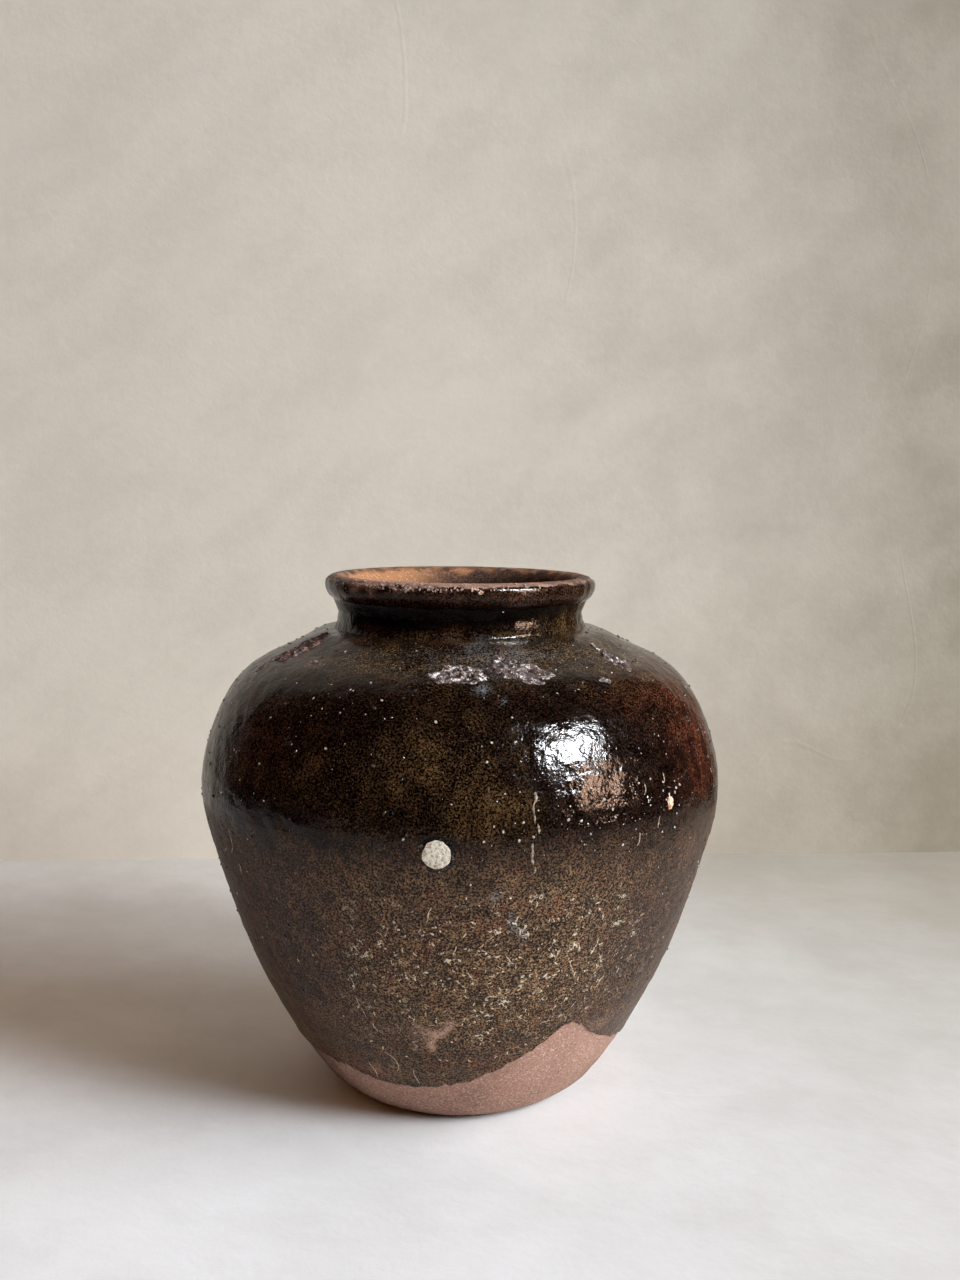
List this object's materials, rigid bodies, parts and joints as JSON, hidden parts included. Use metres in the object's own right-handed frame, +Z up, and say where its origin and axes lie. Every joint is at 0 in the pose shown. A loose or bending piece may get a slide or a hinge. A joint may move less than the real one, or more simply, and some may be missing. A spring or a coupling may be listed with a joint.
{
  "type": "martaban jar",
  "caption": "Stoneware storage jar with a swelling belly, short neck and rolled lip, dark iron glaze that stops in a wavy line above a bare flat foot.",
  "frame": {"origin": "centre of the flat foot, on the surface that the jar stands on", "axes": "+Z up along the jar's axis, -Y towards the side that the picture shows, +X to that view's right"},
  "size_m": [0.299, 0.2994, 0.295],
  "materials": {
    "bare_stoneware": "unglazed fired stoneware, matt and slightly gritty",
    "iron_glaze": "glossy dark brown iron glaze with fine pale speckle and small pits",
    "kiln_scar": "rough fused clay and ash",
    "lime": "dry chalky lime"
  },
  "bodies": {
    "root": {"base_disc": "bare_stoneware", "lower_wall": "bare_stoneware", "belly_wall": "bare_stoneware", "shoulder_wall": "bare_stoneware", "neck_collar": "bare_stoneware", "rim_roll": "bare_stoneware", "glaze_coat": "iron_glaze", "stacking_scar_left": "kiln_scar", "stacking_scar_front": "kiln_scar", "stacking_scar_front_right": "kiln_scar", "stacking_scar_right": "kiln_scar", "stacking_scar_back_right": "kiln_scar", "stacking_scar_back": "kiln_scar", "stacking_scar_back_left": "kiln_scar", "lime_spot": "lime"}
  },
  "joints": []
}
